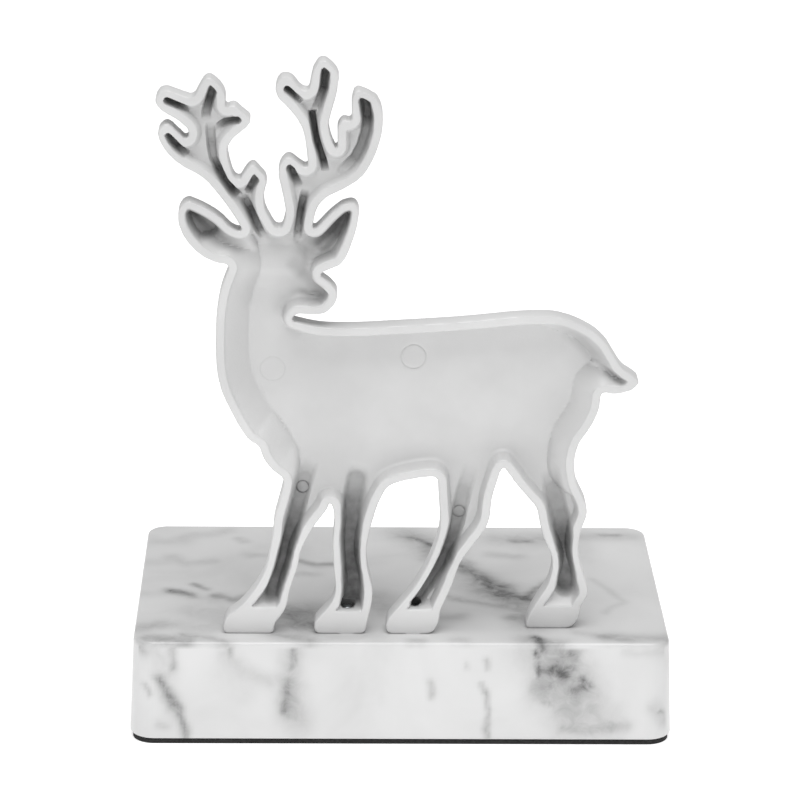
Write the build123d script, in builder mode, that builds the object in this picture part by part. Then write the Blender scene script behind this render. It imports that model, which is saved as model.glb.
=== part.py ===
from build123d import *
from math import asin, atan2, cos, hypot, pi, sin, tan
import os

# Mantel ornament: a hollow-backed reindeer casting, screwed from below to a cast marble block.
# Frame: origin on the surface it stands on, under the middle of the block. X runs along the block,
# +Y is the side that the modelled relief faces, the open back faces -Y, and Z is up.

# Block and pad
block_length = 140.0         # along X, at the top face
block_width = 88.0           # along Y, at the top face
block_height = 26.7
block_draft = 1.1            # how far each side leans out, from the top face to the underside
block_corner = 5.4           # plan corner radius at the top face
block_top_round = 1.0
block_foot_round = 0.6
pad_thickness = 1.5
pad_inset = 0.7              # how far the pad stays inside the underside of the block

# Reindeer casting
rim_from_front_edge = 6.4    # from the -Y edge of the block's top face to the open rim
wall_depth = 5.6             # straight outer wall, from the rim to where the relief starts
shoulder_step = 1.5          # height of the first step of the relief
shoulder_inset = 1.3         # how far that step stands in from the outline
crown_step = 1.3             # height of the second step, on the trunk only
crown_inset = 3.1            # how far the second step stands in from the trunk's outline
wall = 2.3                   # width of the rim round the hollow trunk
floor = 1.7                  # thickness left behind the hollow of the limbs
leg_channel = 4.2            # width of the hollow in each leg
antler_channel = 3.0
ear_channel = 4.2
hind_set_back = 4.4          # how far the far hind hoof stands behind the other three
lean_length = 43.0           # length of that leg which leans back
shortest_edge = 0.05         # arcs that an inset shrinks below this are closed up

# Screws from below into the two middle hooves
screw_x = (-14.3, 3.0)
thread_size = 4.0            # M4
thread_play = 0.1            # the thread's crests stand this much inside the tapped hole
thread_grip = 6.6            # length of screw inside the hoof
tapped_depth = 9.2           # above the block; it breaks out into the hollow legs
hole_play = 0.6              # clearance on the diameter of the block's screw holes
head_diameter = 8.0
head_height = 3.1
head_round = 1.2
drive_width = 4.4            # across the cross recess
drive_slot = 1.0
drive_depth = 1.8
washer_diameter = 9.0
washer_play = 0.3
washer_thickness = 0.8
spring_diameter = 7.6
spring_play = 0.1
spring_thickness = 0.9
spring_gap = 0.8
gap_slant = 35               # degrees
counterbore_play = 0.6
counterbore_depth = 10.0

# Outline of the casting: X and height above the block, run anticlockwise from the chest
near_fore_leg = [
    (-30.6, 42.9), (-31.4, 39.0), (-33.4, 31.4), (-33.6, 27.5), (-35.3, 18.2), (-37.5, 13.6),
    (-41.9, 7.6), (-45.6, 4.9), (-46.7, 2.1), (-46.4, 0), (-33.4, 0), (-33.2, 2.7), (-30.1, 6.9),
    (-29.3, 12.0), (-27.1, 18.6), (-26.6, 22.6), (-23.9, 28.7), (-19.6, 34.6), (-18.9, 36.8)]
far_fore_leg = [
    (-17.9, 34.5), (-17.7, 31.0), (-18.2, 25.2), (-17.9, 18.8), (-17.2, 12.2), (-18.2, 8.8),
    (-20.9, 5.4), (-22.9, 3.3), (-22.8, 0), (-9.6, 0), (-9.0, 3.0), (-7.7, 9.4), (-7.6, 12.6),
    (-9.2, 18.6), (-9.5, 24.0), (-8.2, 30.5), (-6.5, 36.3), (-4.2, 40.9)]
belly = [(-0.6, 42.3), (4.8, 43.4), (9.0, 43.7)]
near_hind_leg = [
    (9.1, 39.8), (9.8, 30.6), (9.2, 26.8), (6.9, 19.9), (3.0, 12.7), (-1.5, 7.0), (-4.0, 3.9),
    (-4.2, 0), (8.0, 0), (9.8, 3.5), (9.9, 6.2), (13.3, 14.3), (14.8, 19.9), (21.4, 29.2),
    (22.5, 32.4), (22.8, 37.8), (24.9, 45.0), (25.8, 46.4)]
far_hind_leg = [
    (27.0, 44.7), (30.7, 39.9), (34.8, 35.0), (35.4, 31.2), (36.5, 26.6), (39.0, 21.4),
    (39.3, 17.4), (38.3, 12.8), (35.6, 8.4), (33.4, 3.9), (32.7, 1.2), (32.9, 0), (44.6, 0),
    (46.8, 3.4), (46.9, 6.6), (48.7, 9.2), (48.6, 12.2), (46.9, 17.4), (45.7, 21.8), (45.9, 27.4),
    (47.8, 33.2), (47.4, 36.4), (44.4, 42.6)]
haunch = [(43.8, 48.0), (44.8, 52.6), (48.1, 57.4), (50.1, 62.3), (50.3, 66.9)]
tail = [(53.8, 66.0), (58.4, 67.2), (60.3, 69.3), (58.8, 71.1), (55.6, 73.0), (53.6, 76.2)]
back = [
    (51.2, 80.2), (48.2, 82.9), (44.0, 85.2), (38.6, 87.0), (30.0, 87.0), (15.0, 85.3),
    (0, 84.3), (-13.0, 83.5), (-22.0, 83.6), (-29.3, 85.4)]
snout = [
    (-27.6, 87.3), (-23.6, 87.0), (-20.4, 87.2), (-17.7, 90.0), (-17.1, 93.0), (-18.9, 95.3),
    (-22.3, 97.6)]
near_ear = [
    (-19.6, 98.9), (-16.2, 100.2), (-14.5, 103.6), (-12.5, 109.6), (-11.8, 114.6), (-13.1, 116.6),
    (-16.2, 116.0), (-19.2, 113.5), (-23.9, 108.4)]
near_antler = [
    (-23.3, 112.4), (-22.5, 115.3), (-20.3, 117.8), (-14.8, 120.5), (-11.0, 123.2), (-8.2, 128.1),
    (-6.3, 134.2), (-6.1, 139.7), (-7.4, 143.2), (-10.4, 144.8), (-13.1, 145.7), (-14.0, 142.8),
    (-13.9, 137.1), (-16.2, 138.1), (-17.5, 136.1), (-17.4, 129.2), (-19.0, 132.6),
    (-19.9, 136.6), (-18.7, 141.0), (-17.7, 144.6), (-17.1, 149.2), (-18.5, 151.4),
    (-21.4, 153.5), (-23.6, 150.8), (-24.7, 144.8), (-27.0, 145.8), (-28.6, 148.4),
    (-31.4, 149.0), (-33.1, 146.4), (-32.6, 143.5), (-29.2, 140.2), (-26.2, 136.0),
    (-25.2, 131.0), (-24.7, 125.0), (-27.2, 126.6), (-29.6, 128.6), (-31.7, 126.8),
    (-32.4, 124.0), (-31.1, 118.6), (-30.2, 113.6), (-31.3, 109.7)]
far_antler = [
    (-33.0, 109.8), (-35.7, 114.6), (-36.0, 118.2), (-34.9, 122.4), (-36.9, 124.6),
    (-38.7, 126.6), (-40.7, 124.4), (-42.0, 121.9), (-43.6, 123.3), (-44.7, 127.2),
    (-45.1, 130.2), (-43.9, 132.6), (-40.0, 135.8), (-38.9, 137.8), (-41.1, 139.6),
    (-43.4, 141.7), (-45.5, 140.3), (-45.3, 144.2), (-47.1, 147.0), (-50.0, 148.9),
    (-52.0, 145.8), (-53.4, 142.8), (-57.5, 144.3), (-61.0, 145.6), (-63.3, 142.6),
    (-61.6, 139.9), (-56.7, 137.1), (-54.3, 134.7), (-55.1, 132.2), (-57.4, 134.4),
    (-60.1, 137.0), (-62.4, 134.8), (-62.1, 132.4), (-60.2, 129.1), (-56.8, 125.8),
    (-51.0, 122.9), (-47.2, 118.4), (-43.7, 113.5), (-40.9, 108.6)]
far_ear = [
    (-43.8, 109.3), (-47.3, 112.9), (-51.0, 115.1), (-55.3, 116.9), (-57.4, 114.6),
    (-57.5, 110.9), (-55.9, 106.8), (-52.2, 102.6), (-47.7, 100.4), (-44.3, 100.2)]
neck = [
    (-46.9, 93.6), (-48.0, 87.0), (-48.2, 78.0), (-47.9, 71.2), (-46.6, 65.8), (-42.5, 57.3),
    (-39.8, 53.2), (-37.0, 51.7), (-36.2, 48.4), (-33.6, 44.9)]


# Joins the trunk's own stretches where the legs, ears and antlers leave it
leg_crotch = [(25.8, 46.4), (34.0, 44.5), (43.0, 44.5)]
head_top = [(-22.0, 103.0), (-24.5, 107.8), (-32.2, 109.8), (-40.5, 108.0), (-44.2, 104.5)]
chest_foot = [(-28.6, 41.2), (-18.9, 37.6), (-7.0, 41.2)]

# Middle lines of the hollow in each limb, from the trunk outwards
near_fore_channel = [
    (-22.0, 50.0), (-25.6, 39.5), (-28.4, 31.5), (-30.0, 24.5), (-31.0, 18.5), (-33.8, 11.6)]
far_fore_channel = [
    (-8.5, 48.0), (-12.2, 37.0), (-13.4, 31.0), (-13.8, 25.0), (-13.2, 18.0), (-12.9, 9.4)]
near_hind_channel = [
    (18.0, 50.0), (16.2, 38.0), (15.2, 30.5), (13.0, 25.0), (10.4, 19.6), (7.0, 12.2)]
far_hind_channel = [
    (34.0, 52.0), (39.4, 38.0), (41.2, 31.5), (41.5, 26.5), (42.4, 20.0), (43.8, 10.6)]
near_ear_channel = [(-23.0, 102.0), (-18.6, 106.5), (-15.4, 112.4)]
far_ear_channel = [(-42.0, 104.0), (-48.5, 106.5), (-53.8, 111.8)]
near_antler_channels = [
    [(-27.6, 105.0), (-26.9, 113.5), (-24.4, 119.5), (-19.8, 124.4), (-14.4, 126.8), (-10.6, 132.0),
     (-10.1, 141.2)],
    [(-26.9, 115.0), (-28.6, 119.6), (-29.0, 124.6)],
    [(-20.4, 124.0), (-22.4, 130.0), (-22.9, 137.0), (-21.2, 143.0), (-20.9, 149.6)],
    [(-22.8, 137.4), (-26.6, 141.4), (-30.2, 145.6)]]
far_antler_channels = [
    [(-36.6, 105.0), (-38.4, 111.5), (-41.6, 117.4), (-46.6, 121.9), (-50.6, 128.0), (-49.9, 135.0),
     (-48.7, 140.0), (-49.4, 145.0)],
    [(-39.2, 113.0), (-38.9, 118.5), (-38.6, 123.0)],
    [(-48.6, 124.5), (-54.6, 127.8), (-59.4, 133.6)],
    [(-49.8, 135.8), (-55.0, 140.6), (-60.2, 142.6)],
    [(-50.4, 131.5), (-46.4, 136.0), (-42.6, 138.6)]]

# Worked out from the sizes above
block_top = pad_thickness + block_height
foot_length = block_length + 2 * block_draft
foot_width = block_width + 2 * block_draft
foot_corner = block_corner + block_draft
rim_y = rim_from_front_edge - block_width / 2
relief_depth = wall_depth + shoulder_step
hollow_depth = relief_depth - floor
screw_y = rim_y + relief_depth / 2
screw_size = thread_size - thread_play
clearance_hole = thread_size + hole_play
washer_bore = thread_size + washer_play
spring_bore = thread_size + spring_play
counterbore_size = max(washer_diameter, head_diameter) + counterbore_play
washer_seat = pad_thickness + counterbore_depth
spring_seat = washer_seat - washer_thickness
head_seat = spring_seat - spring_thickness
screw_length = block_top + thread_grip - head_seat
lean = asin(hind_set_back / lean_length)
lean_top = lean_length * cos(lean)


def bend_radii(points, closed=True):
    """Radius for each corner: 0.45 of its shorter run, over the tangent of half the turn."""
    count = len(points)
    corners = range(count) if closed else range(1, count - 1)
    radii = []
    for here in corners:
        x, h = points[here]
        before = points[here - 1]
        after = points[(here + 1) % count]
        run_in = hypot(x - before[0], h - before[1])
        run_out = hypot(after[0] - x, after[1] - h)
        turn = atan2(after[1] - h, after[0] - x) - atan2(h - before[1], x - before[0])
        half_turn = abs((turn + 3 * pi) % (2 * pi) - pi) / 2
        radii.append(0.45 * min(run_in, run_out) / tan(half_turn))
    return radii


def upright(y):
    """The upright plane at depth y. It faces -Y; its own axes are X and height above the block."""
    return Plane(origin=(0, y, block_top), x_dir=(1, 0, 0), z_dir=(0, -1, 0))


def channel(points, width):
    """Hollow of one limb, as a band along its middle line with round ends; used inside a sketch."""
    with BuildLine() as middle:
        FilletPolyline(*points, radius=bend_radii(points, closed=False))
    trace(middle.line, line_width=width)
    with Locations(points[-1]):
        Circle(width / 2)


# ---- Reindeer casting ----
outline = (near_fore_leg + far_fore_leg + belly + near_hind_leg + far_hind_leg + haunch + tail + back
           + snout + near_ear + near_antler + far_antler + far_ear + neck)
trunk_outline = chest_foot + belly + leg_crotch + haunch + tail + back + snout + head_top + neck[:-1]

with BuildSketch(upright(rim_y)) as silhouette:
    with BuildLine():
        FilletPolyline(*outline, radius=bend_radii(outline), close=True)
    make_face()

with BuildSketch(upright(rim_y)) as trunk:
    with BuildLine():
        FilletPolyline(*trunk_outline, radius=bend_radii(trunk_outline), close=True)
    make_face()

with BuildSketch(upright(rim_y)) as hollow:
    add(trunk.sketch_local)
    offset(amount=-wall, min_edge_length=shortest_edge)
    for middle_line in (near_fore_channel, far_fore_channel, near_hind_channel):
        channel(middle_line, leg_channel)
    for middle_line in (near_ear_channel, far_ear_channel):
        channel(middle_line, ear_channel)
    for middle_line in near_antler_channels + far_antler_channels:
        channel(middle_line, antler_channel)

# The far hind leg leans back below lean_top, so its part of the outline is cut off and laid on a
# leaning plane, which meets the rim plane at lean_top.
leaning = Plane(
    origin=(0, rim_y + hind_set_back, block_top),
    x_dir=(1, 0, 0),
    z_dir=(0, -cos(lean), -sin(lean)))
leg_middle = (leg_crotch[0][0] + foot_length / 2) / 2
leg_span = foot_length / 2 - leg_crotch[0][0]

with BuildSketch(upright(rim_y)) as standing_outline:
    add(silhouette.sketch_local)
    with Locations((leg_middle, lean_top / 2 - 1)):
        Rectangle(leg_span, lean_top + 2, mode=Mode.SUBTRACT)

with BuildSketch(leaning) as leaning_outline:
    add(silhouette.sketch_local)
    with Locations((leg_middle, lean_length / 2)):
        Rectangle(leg_span, lean_length, mode=Mode.INTERSECT)

with BuildSketch(leaning) as leaning_hollow:
    channel(far_hind_channel, leg_channel)

with BuildSketch(upright(rim_y + wall_depth)) as shoulder:
    add(silhouette.sketch_local)
    offset(amount=-shoulder_inset, min_edge_length=shortest_edge)

with BuildSketch(upright(rim_y + relief_depth)) as crown:
    add(trunk.sketch_local)
    offset(amount=-crown_inset, min_edge_length=shortest_edge)

with BuildPart() as reindeer:
    extrude(standing_outline.sketch, amount=wall_depth, dir=(0, 1, 0))
    extrude(leaning_outline.sketch, amount=relief_depth, dir=(0, 1, 0))
    extrude(shoulder.sketch, amount=shoulder_step, dir=(0, 1, 0))
    extrude(crown.sketch, amount=crown_step, dir=(0, 1, 0))
    extrude(hollow.sketch, amount=hollow_depth, dir=(0, 1, 0), mode=Mode.SUBTRACT)
    extrude(leaning_hollow.sketch, amount=hollow_depth, dir=(0, 1, 0), mode=Mode.SUBTRACT)
    for x in screw_x:
        with Locations((x, screw_y, block_top)):
            Cylinder(thread_size / 2, tapped_depth, align=(Align.CENTER, Align.CENTER, Align.MIN),
                     mode=Mode.SUBTRACT)

# ---- Cast marble block ----
with BuildPart() as marble_block:
    with BuildSketch(Plane.XY.offset(pad_thickness)):
        RectangleRounded(foot_length, foot_width, foot_corner)
    with BuildSketch(Plane.XY.offset(block_top)):
        RectangleRounded(block_length, block_width, block_corner)
    loft()
    fillet(faces().sort_by(Axis.Z)[-1].edges(), radius=block_top_round)
    fillet(faces().sort_by(Axis.Z)[0].edges(), radius=block_foot_round)
    for x in screw_x:
        with Locations((x, screw_y, pad_thickness)):
            Cylinder(clearance_hole / 2, block_height, align=(Align.CENTER, Align.CENTER, Align.MIN),
                     mode=Mode.SUBTRACT)
            Cylinder(counterbore_size / 2, counterbore_depth,
                     align=(Align.CENTER, Align.CENTER, Align.MIN), mode=Mode.SUBTRACT)

# ---- Foam pad that covers the underside and the screw holes ----
with BuildPart() as foam_pad:
    with BuildSketch():
        RectangleRounded(foot_length - 2 * pad_inset, foot_width - 2 * pad_inset, foot_corner - pad_inset)
    extrude(amount=pad_thickness)


# ---- Screws and washers, one of each in each of the two middle hooves ----
def screw(x):
    """Pan head machine screw, head down, with a cross recess; its thread is drawn as a plain shank."""
    with BuildPart(Plane((x, screw_y, head_seat))) as made:
        Cylinder(screw_size / 2, screw_length, align=(Align.CENTER, Align.CENTER, Align.MIN))
        Cylinder(head_diameter / 2, head_height, align=(Align.CENTER, Align.CENTER, Align.MAX))
        fillet(faces().sort_by(Axis.Z)[0].edges(), radius=head_round)
        chamfer(faces().sort_by(Axis.Z)[-1].edges(), length=thread_size / 8)
        with Locations((0, 0, -head_height)):
            for length, width in ((drive_width, drive_slot), (drive_slot, drive_width)):
                Box(length, width, drive_depth, align=(Align.CENTER, Align.CENTER, Align.MIN),
                    mode=Mode.SUBTRACT)
    return made.part


def flat_washer(x):
    with BuildPart(Plane((x, screw_y, spring_seat))) as made:
        Cylinder(washer_diameter / 2, washer_thickness, align=(Align.CENTER, Align.CENTER, Align.MIN))
        Hole(washer_bore / 2)
    return made.part


def spring_washer(x):
    """Square-section ring with a slanting gap."""
    with BuildPart(Plane((x, screw_y, head_seat))) as made:
        Cylinder(spring_diameter / 2, spring_thickness, align=(Align.CENTER, Align.CENTER, Align.MIN))
        Hole(spring_bore / 2)
        ring_middle = (spring_diameter + spring_bore) / 4
        with Locations(Location((ring_middle, 0, spring_thickness / 2), (gap_slant, 0, 0))):
            Box(spring_diameter - spring_bore, spring_gap, 4 * spring_thickness, mode=Mode.SUBTRACT)
    return made.part


# ---- Files ----
os.makedirs("parts", exist_ok=True)

reindeer.part.label = "reindeer"
export_step(reindeer.part, "parts/reindeer.step")

marble_block.part.label = "marble_block"
export_step(marble_block.part, "parts/marble_block.step")

foam_pad.part.label = "foam_pad"
export_step(foam_pad.part, "parts/foam_pad.step")

for leg, x in zip(("fore", "hind"), screw_x):
    for piece, make in (("screw", screw), ("flat_washer", flat_washer), ("spring_washer", spring_washer)):
        part = make(x)
        part.label = f"{leg}_{piece}"
        export_step(part, f"parts/{leg}_{piece}.step")
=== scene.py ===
import bmesh
import bpy
import math
import numpy as np
from mathutils import Matrix, Vector, noise
from mathutils.bvhtree import BVHTree


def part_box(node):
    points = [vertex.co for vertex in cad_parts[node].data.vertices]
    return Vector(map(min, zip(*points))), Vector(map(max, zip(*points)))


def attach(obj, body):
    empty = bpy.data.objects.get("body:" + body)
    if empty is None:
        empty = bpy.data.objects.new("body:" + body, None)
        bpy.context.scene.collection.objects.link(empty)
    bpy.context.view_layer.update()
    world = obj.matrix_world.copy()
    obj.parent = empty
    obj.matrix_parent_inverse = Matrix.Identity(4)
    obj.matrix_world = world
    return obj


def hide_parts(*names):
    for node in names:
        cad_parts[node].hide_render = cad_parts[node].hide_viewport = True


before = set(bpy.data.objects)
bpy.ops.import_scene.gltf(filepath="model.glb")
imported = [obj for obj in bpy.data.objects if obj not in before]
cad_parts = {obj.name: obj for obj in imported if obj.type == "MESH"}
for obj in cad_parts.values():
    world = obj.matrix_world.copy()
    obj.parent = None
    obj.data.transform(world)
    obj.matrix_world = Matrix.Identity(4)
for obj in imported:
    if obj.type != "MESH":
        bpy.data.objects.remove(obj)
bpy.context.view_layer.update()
mm = 0.001
samePoint = 1e-6    # points nearer than this, in metres, are merged

scene = bpy.context.scene
scene.view_settings.view_transform = "Standard"

blockLow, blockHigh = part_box("marble_block")
deerLow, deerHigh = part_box("reindeer")
blockTop = blockHigh[2]
rimY = deerLow[1]


def hexColour(code):
    parts = [int(code[i:i + 2], 16) / 255 for i in (1, 3, 5)]
    return [c / 12.92 if c <= 0.04045 else ((c + 0.055) / 1.055) ** 2.4 for c in parts] + [1.0]


def scaleFor(size):
    # a pattern's Scale, from the size in mm of one patch of it
    return 1 / (size * mm)


def addNode(tree, kind, settings=None, **links):
    # settings are attributes; links go to inputs by name, "_" standing for a space, or by number as i0, i1
    node = tree.nodes.new(kind)
    for key, value in (settings or {}).items():
        setattr(node, key, value)
    for key, value in links.items():
        name = key.replace("_", " ")
        socket = node.inputs[int(key[1:])] if key[0] == "i" and key[1:].isdigit() else node.inputs[name]
        if isinstance(value, bpy.types.NodeSocket):
            tree.links.new(value, socket)
        else:
            socket.default_value = value
    return node


def newMaterial(name):
    material = bpy.data.materials.new(name)
    material.use_nodes = True
    tree = material.node_tree
    tree.nodes.clear()
    surface = addNode(tree, "ShaderNodeBsdfPrincipled")
    output = addNode(tree, "ShaderNodeOutputMaterial")
    tree.links.new(surface.outputs["BSDF"], output.inputs["Surface"])
    where = addNode(tree, "ShaderNodeTexCoord").outputs["Object"]
    return material, tree, surface, where


def ramp(tree, factor, *stops):
    # stops are (place, hex colour) pairs
    node = addNode(tree, "ShaderNodeValToRGB", i0=factor)
    elements = node.color_ramp.elements
    while len(elements) < len(stops):
        elements.new(0.5)
    for element, (place, code) in zip(elements, stops):
        element.position = place
        element.color = hexColour(code)
    return node.outputs["Color"]


def smoothStep(low, high, value):
    t = np.clip((value - low) / (high - low), 0, 1)
    return t * t * (3 - 2 * t)


def between(band, value):
    # rises from 0 to 1 over the band's first two values and falls again over its last two
    return smoothStep(band[0], band[1], value) * (1 - smoothStep(band[2], band[3], value))


def makeObject(name, mesh, material):
    piece = bpy.data.objects.new(name, mesh)
    scene.collection.objects.link(piece)
    mesh.materials.clear()
    mesh.materials.append(material)
    return piece


def applyModifiers(piece):
    evaluated = piece.evaluated_get(bpy.context.evaluated_depsgraph_get())
    plain = bpy.data.meshes.new_from_object(evaluated)
    piece.modifiers.clear()
    piece.data = plain


def shadeSmooth(mesh, sharpest):
    for polygon in mesh.polygons:
        polygon.use_smooth = True
    mesh.set_sharp_from_angle(angle=math.radians(sharpest))


def mergedCopy(node, name, sharpest=32):
    shape = bmesh.new()
    shape.from_mesh(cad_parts[node].data)
    bmesh.ops.remove_doubles(shape, verts=shape.verts, dist=samePoint)
    mesh = bpy.data.meshes.new(name)
    shape.to_mesh(mesh)
    shape.free()
    shadeSmooth(mesh, sharpest)
    return mesh


# places in mm and angles in degrees; nearest is where the camera's view starts, in mm
cameraPlace = {
    "x": -19.59, "y": -903.5, "z": 377.42, "turn": 1.222, "dip": 18.203, "roll": 0.655, "lens": 160.43,
    "sensor": 36, "nearest": 10,
}
# lights over a sheet of pale paper; each light has its place, aim, size and power
studio = {"roomLight": 0.46, "paper": "#f4f4f4", "paperGlow": 0.45, "paperRoughness": 0.9, "paperHalf": 6.0}
softboxes = {
    "frontSoftbox": ((-0.25, -1.3, 0.75), (0, 0, 0.08), (1.2, 1.0), 0.7),
    "topSoftbox": ((0.0, -0.35, 1.25), (0, 0, 0.05), (1.0, 1.0), 13.5),
    "lowSoftbox": ((-0.03, -0.22, 0.02), (0, 0, 0.03), (0.4, 0.03), 0.035),
}


def makeCamera(place):
    turn, dip, roll = (math.radians(place[k]) for k in ("turn", "dip", "roll"))
    ahead = Vector((math.sin(turn) * math.cos(dip), math.cos(turn) * math.cos(dip), -math.sin(dip)))
    side = Vector((math.cos(turn), -math.sin(turn), 0))
    up = side.cross(ahead)
    right = side * math.cos(roll) + up * math.sin(roll)
    top = up * math.cos(roll) - side * math.sin(roll)
    camera = bpy.data.objects.new("camera", bpy.data.cameras.new("camera"))
    scene.collection.objects.link(camera)
    spin = Matrix((right, top, -ahead)).transposed().to_4x4()
    camera.matrix_world = Matrix.Translation([place[k] * mm for k in "xyz"]) @ spin
    camera.data.sensor_width = place["sensor"]
    camera.data.lens = place["lens"]
    camera.data.clip_start = place["nearest"] * mm
    scene.camera = camera


def softLight(name, position, target, size, power):
    light = bpy.data.lights.new(name, "AREA")
    light.shape = "RECTANGLE"
    light.size, light.size_y = size
    light.energy = power
    lamp = bpy.data.objects.new(name, light)
    scene.collection.objects.link(lamp)
    lamp.location = position
    aim = Vector(target) - Vector(position)
    lamp.rotation_euler = aim.to_track_quat("-Z", "Y").to_euler()
    lamp.visible_camera = False


def makeStudio():
    s = studio
    world = bpy.data.worlds.new("studio")
    scene.world = world
    world.use_nodes = True
    sky = world.node_tree.nodes["Background"]
    sky.inputs["Color"].default_value = (1, 1, 1, 1)
    sky.inputs["Strength"].default_value = s["roomLight"]
    for name, (position, target, size, power) in softboxes.items():
        softLight(name, position, target, size, power)
    # matt white paper, lit from within as well, so that it shows no edge and few shadows
    material, tree, surface, where = newMaterial("palePaper")
    surface.inputs["Base Color"].default_value = hexColour(s["paper"])
    surface.inputs["Roughness"].default_value = s["paperRoughness"]
    surface.inputs["Emission Color"].default_value = (1, 1, 1, 1)
    surface.inputs["Emission Strength"].default_value = s["paperGlow"]
    mesh = bpy.data.meshes.new("floor")
    half = s["paperHalf"]
    corners = [(-half, -half, 0), (half, -half, 0), (half, half, 0), (-half, half, 0)]
    mesh.from_pydata(corners, [], [(0, 1, 2, 3)])
    makeObject("floor", mesh, material)


makeCamera(cameraPlace)
makeStudio()
print("camera, light and floor ready")


# The reindeer casting. Lengths are in mm; x runs along the block, h is the height above it and d is the
# distance in from the outline. A band of four values fades in over the first two and out over the last two.
casting = {
    "grid": 0.6,  # spacing of the surface's points
    "rim": 2.3, "rimRound": 0.45,  # width of the rim and rounding of its edges
    "wallRun": 0.3, "limbRun": 0.9, "flankFade": 3,  # how far the hollow's side slopes in
    "fillet": 0.8, "filletReach": 1.6, "filletSteep": (0.5, 2.0),  # rounding where the side meets the floor
    "trunkHollow": 6.0, "legHollow": 3.4, "antlerHollow": 1.7, "headHollow": 4.6,
    "trunkHigh": (36, 52, 98, 106), "limbHigh": (90, 108),
    "headHigh": (92, 98, 104, 109), "headAcross": (-44, -40, -27, -22), "earSpread": 1.6,
    "deepPocket": 1.5, "pocketCore": 0.5, "pocketFade": (1.5, 2.2),  # past deepPocket, floors are flat
    "thinnest": 1.0,  # least metal behind the hollow
    "trunkShadeDull": 0.04, "limbShadeDull": 0.1,  # painted shade and dull plate outside the pockets, growing into the hollow
    "markFall": 0.3,  # how far the side has fallen where pin marks may start
    "roundCut": 0.35, "dishCut": 1.5, "pocketCuts": (0.5, 0.95),  # where edges are added, as d or as a part
    "filletCuts": (0.35, 0.8), "frontCuts": (0.15, 0.4, 0.9, 1.6),
    "wallDepth": 5.6,  # straight outer wall, from the rim to the relief
    "setBack": 4.4, "leanTop": 42.8, "leanLeft": 25.8, "leanFade": 2,  # the far hind leg leans back
    "crown": 1.7, "crownRun": 3.6,  # relief of every limb
    "full": 1.3, "fullStart": 2.0, "fullRun": 12, "fullHigh": (36, 50, 102, 108),  # more on the trunk
    "swellEdge": 2.5, "carvingEdge": 1.2, "tineGroove": 0.35, "tineGrooveWide": 0.5,
    "hair": 0.32, "hairHigh": (30, 50), "hairTop": 104, "hairEdge": (0.8, 2.5),  # combed hair
    "hairAlong": (0.24, 0.12), "hairAcross": (-0.2, 0.9),
    "sharpest": 38,  # degrees, past which an edge is sharp
    # the darker grey is painted shade in the deep hollows, with some dull plating
    "plate": ((0.35, "#c4c4c4"), (0.65, "#cccccc")), "shadedDullGrey": "#5a5a5a",
    "metallic": 0.12, "roughPlate": 0.52, "roughShadeAndDull": 0.75,
    # patterns, by the size of one patch
    "cloud": 22.22,  # slow drift of the plate's tone
    "shadePatch": 2.857,  # patches in the painted shade and dull plate
    "grain": 0.625,  # cast grain, really about 0.1 mm, drawn coarser so that it shows
    "waves": 5.556,  # unevenness left by the mould and the polishing
}
# solid hooves: from x to x, the height at which the hollow starts and the run of the slope into it
hooves = [(-60, -25, 7.4, 1.8), (-25, -6, 6.4, 1.2), (-6, 24, 6.9, 1.6), (24, 60, 6.6, 3.8)]
# places where the inside follows a rounded flank: a line along the outline, its reach and its slope's run
flanks = [
    {"line": [(-45, 99), (-48, 86), (-48, 72), (-45, 63), (-39.5, 53), (-36, 48)], "reach": 8, "run": 5.8},
    {"line": [(50, 67), (49, 60), (44.5, 52), (43.8, 46)], "reach": 6, "run": 4.6},
    {"line": [(40, 87.5), (47, 84), (53, 77)], "reach": 5, "run": 3.2},
]
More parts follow.
